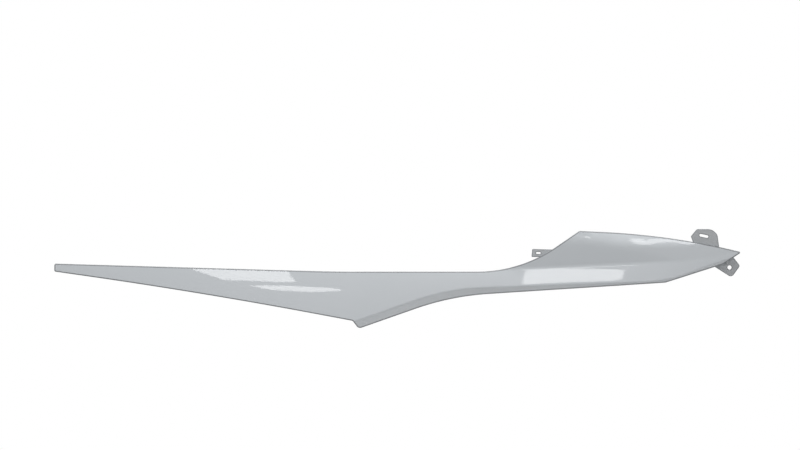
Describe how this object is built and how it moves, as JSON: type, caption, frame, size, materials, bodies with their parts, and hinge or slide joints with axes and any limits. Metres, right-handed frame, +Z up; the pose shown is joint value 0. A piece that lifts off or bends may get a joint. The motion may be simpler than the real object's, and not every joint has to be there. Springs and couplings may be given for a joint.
{
  "type": "scooter lower side panel",
  "caption": "Long blade-shaped lower side panel for a scooter, thin glossy moulded skin with a creased wing, turned-under return and fixing tabs.",
  "frame": {"origin": "middle of the round screw hole in the tail tab, half way through the tab", "axes": "upright as fitted: +X along the panel towards the tabbed tail end, -Y the way the painted face looks, +Z up"},
  "size_m": [0.8235, 0.0534, 0.1185],
  "materials": {
    "painted_plastic": "gloss clear-coated white paint"
  },
  "bodies": {
    "root": {"side_panel": "painted_plastic"}
  },
  "joints": []
}
